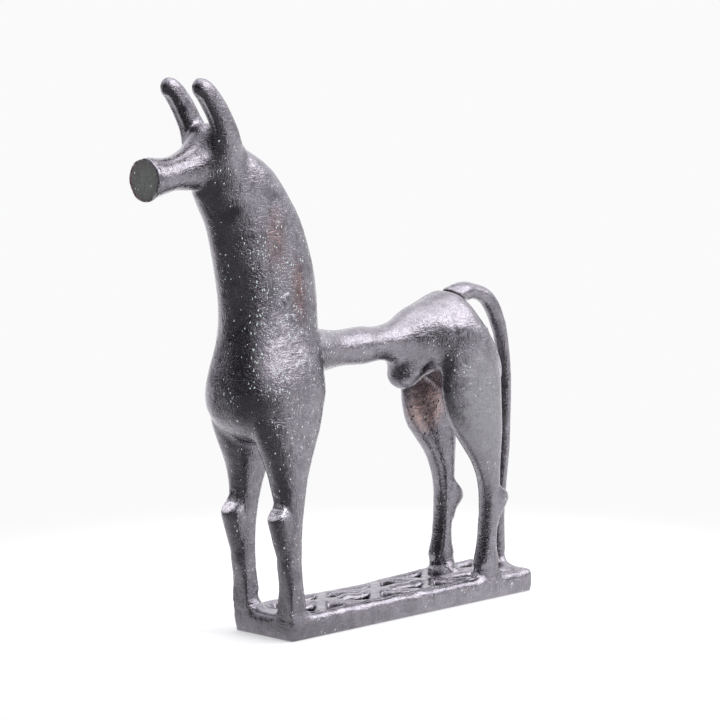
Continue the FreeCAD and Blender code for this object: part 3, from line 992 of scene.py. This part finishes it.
def makeBronze(name, density, strokes=1.0, tone=1.0, patches=(), pits=None, thick=None, crackShade=None):
    # patches: place, reach, tint, share, how matt, softness of the edge
    # pits: place, reach and softness; thick, where the flecks crowd: place and reach
    # crack: painted shade, a dark line along the open crack: place, reach and turn
    material, tree = newMaterial(name)
    out = newNode(tree, "ShaderNodeOutputMaterial")
    shader = newNode(tree, "ShaderNodeBsdfPrincipled")
    coords = newNode(tree, "ShaderNodeTexCoord")
    place = placed(tree, (coords, "Object"))
    grain = newNode(tree, "ShaderNodeGroup", node_tree=grainGroup)
    link(tree, place, (grain, "Place"))
    grain.inputs["Strokes"].default_value = strokes
    grain.inputs["Stipple"].default_value = bronze["stipple"]
    flecks = newNode(tree, "ShaderNodeGroup", node_tree=fleckGroup)
    link(tree, place, (flecks, "Place"))
    flecks.inputs["Density"].default_value = density
    if thick:
        crowd = patch(tree, place, *thick, bronze["thickEdge"])
        more = ramp(tree, crowd, 0.0, 1.0, density, density + bronze["moreFlecks"])
        link(tree, more, (flecks, "Density"))
    clouds = newNode(tree, "ShaderNodeTexNoise", Detail=4.0, Roughness=0.62)
    clouds.inputs["Scale"].default_value = bronze["cloudScale"]
    link(tree, place, (clouds, "Vector"))
    wearAndHighlight = mathNode(tree, "MULTIPLY", (grain, "Grain"), bronze["wornShare"])
    cloudy = ramp(tree, (clouds, 0), *bronze["cloudShare"])
    shadeShare = mathNode(tree, "ADD", cloudy, wearAndHighlight)
    dark = tuple(tone * value for value in bronze["dark"][:3]) + (1,)
    light = tuple(tone * value for value in bronze["light"][:3]) + (1,)
    colour = mixColour(tree, shadeShare, dark, light)
    rough = ramp(tree, (clouds, 0), *bronze["cloudRough"], *bronze["roughness"])
    metal = bronze["metallic"]
    frayed = newNode(tree, "ShaderNodeTexNoise", Scale=bronze["frayScale"], Detail=3.0)
    link(tree, place, (frayed, "Vector"))
    for middle, reach, tint, share, matt, softness in patches:
        whole = patch(tree, place, middle, reach, softness)
        if softness > bronze["crisp"]:
            whole = mathNode(tree, "MULTIPLY", whole, ramp(tree, (frayed, 0), *bronze["fray"]))
        mask = mathNode(tree, "MULTIPLY", whole, share)
        colour = mixColour(tree, mask, colour, tint)
        if matt:
            dull = mathNode(tree, "MULTIPLY", whole, matt)
            metal = mixValue(tree, dull, metal, bronze["mattMetallic"])
            rough = mixValue(tree, dull, rough, bronze["mattRoughness"])
    height = (grain, "Height")
    if pits:
        spots = newNode(tree, "ShaderNodeGroup", node_tree=fleckGroup)
        link(tree, place, (spots, "Place"))
        spots.inputs["Density"].default_value = bronze["pitDensity"]
        spots.inputs["Spacing"].default_value = bronze["pitSpacing"]
        mask = mathNode(tree, "MULTIPLY", (spots, "Mask"), patch(tree, place, *pits))
        colour = mixColour(tree, mask, colour, bronze["pitAndCrackShade"])
        sunk = mathNode(tree, "MULTIPLY", mask, bronze["pitDepth"])
        height = mathNode(tree, "SUBTRACT", height, sunk)
    # painted shade: a near-black line where the shade of the open crack round the tail's root falls
    if crackShade:
        middle, reach, turn = crackShade
        line = patch(tree, place, middle, reach, bronze["crackEdge"], turn)
        colour = mixColour(tree, line, colour, bronze["pitAndCrackShade"])
        rough = mixValue(tree, line, rough, bronze["crackRoughness"])
    speck = (flecks, "Mask")
    crust = mathNode(tree, "MULTIPLY", speck, bronze["fleckShare"])
    colour = mixColour(tree, crust, colour, bronze["fleck"])
    metal = mixValue(tree, speck, metal, bronze["fleckMetallic"])
    rough = mixValue(tree, speck, rough, bronze["fleckRoughness"])
    raised = mathNode(tree, "MULTIPLY", speck, bronze["fleckHeight"])
    height = mathNode(tree, "ADD", height, raised)
    bump = newNode(tree, "ShaderNodeBump", Strength=1.0, Distance=bronze["bumpReach"])
    link(tree, height, (bump, "Height"))
    link(tree, colour, (shader, "Base Color"))
    link(tree, metal, (shader, "Metallic"))
    link(tree, rough, (shader, "Roughness"))
    link(tree, (bump, 0), (shader, "Normal"))
    link(tree, (shader, 0), (out, 0))
    return material


tints = {
    "brown": (0.19, 0.115, 0.11, 1),
    "copper": (0.50, 0.35, 0.33, 1),
    "red": (0.36, 0.19, 0.18, 1),
    "stone": (0.125, 0.13, 0.128, 1),
    # a pale tint: the painted highlight on the lit tops of the knee ledges
    "wearAndHighlight": (0.66, 0.63, 0.68, 1),
    "patina": (0.205, 0.208, 0.215, 1),
    "lichen": (0.20, 0.235, 0.22, 1),
}
neckPatches = [
    ((-50, -9, 109), (5, 8, 15), tints["brown"], 0.75, 0.0, 0.9),
    ((-59, -9, 126), (7, 7, 15), tints["brown"], 0.6, 0.0, 0.9),
    # painted highlight: pale patches on the lit tops of both knee ledges
    ((-61, -9.9, 41), (4.5, 6.5, 3.2), tints["wearAndHighlight"], 0.9, 0.0, 0.5),
    ((-61, 9.9, 41), (4.5, 6.5, 3.2), tints["wearAndHighlight"], 0.9, 0.0, 0.5),
]
headPatches = [
    ((-105.0, 1.2, 145.0), (1.2, 7.9, 7.7), tints["red"], 0.8, 0.0, 0.5),
    ((-105.6, -0.2, 145.3), (1.5, 6.9, 6.9), tints["stone"], 0.85, 0.5, 0.15),
    ((-105.6, 0, 145.3), (1.5, 9, 9), tints["lichen"], 0.7, 0.5, 0.9),
]
thighPatches = [
    ((24.5, 6.5, 65), (10, 6, 12), tints["copper"], 0.85, 0.2, 0.6),
    ((29, -15, 64), (20, 9, 34), tints["patina"], 0.85, 0.7, 0.8),
]
neckFlecks = ((-60, -11, 98), (17, 14, 60))
muzzleFlecks = ((-105, 0, 145), (6, 9, 9))
thighPits = ((24, 6.5, 60), (12, 7, 19), 0.5)
# painted shade along the crack round the tail's root
rootCrackShade = (joints["rootPoint"], (9, 6, 0.5), (0, joints["rootTilt"], 0))
finishes = {    # each piece's name, and its bronze with the density of its flecks
    "castBase": makeBronze("baseBronze", 0.45, tone=1.05),
    "castForequarters": makeBronze("bodyBronze", 0.62, patches=neckPatches, thick=neckFlecks),
    "castHead": makeBronze("headBronze", 0.32, patches=headPatches, thick=muzzleFlecks),
    "castHindquarters": makeBronze(
        "hindBronze", 0.42, patches=thighPatches, pits=thighPits, crackShade=rootCrackShade),
    "castTail": makeBronze("tailBronze", 0.3, crackShade=rootCrackShade),
}
for name, piece in pieces.items():
    piece.data.materials.append(finishes[name])

fittings = [    # the bronze of the pins, dowels and plugs that stay as they are
    (makeBronze("pinBronze", 0.2, strokes=0.5, tone=1.15),
     ("hoof_pins", "tail_foot_pin", "neck_dowel", "barrel_dowel")),
    (makeBronze("plugBronze", 0.3, strokes=0.7),
     ("tail_root_pin", "chest_core_plug", "rump_core_plug", "core_pin_plugs")),
]
for finish, nodeNames in fittings:
    for nodeName in nodeNames:
        for slot in nodes[nodeName].material_slots:
            slot.material = finish
print("bronze laid on")
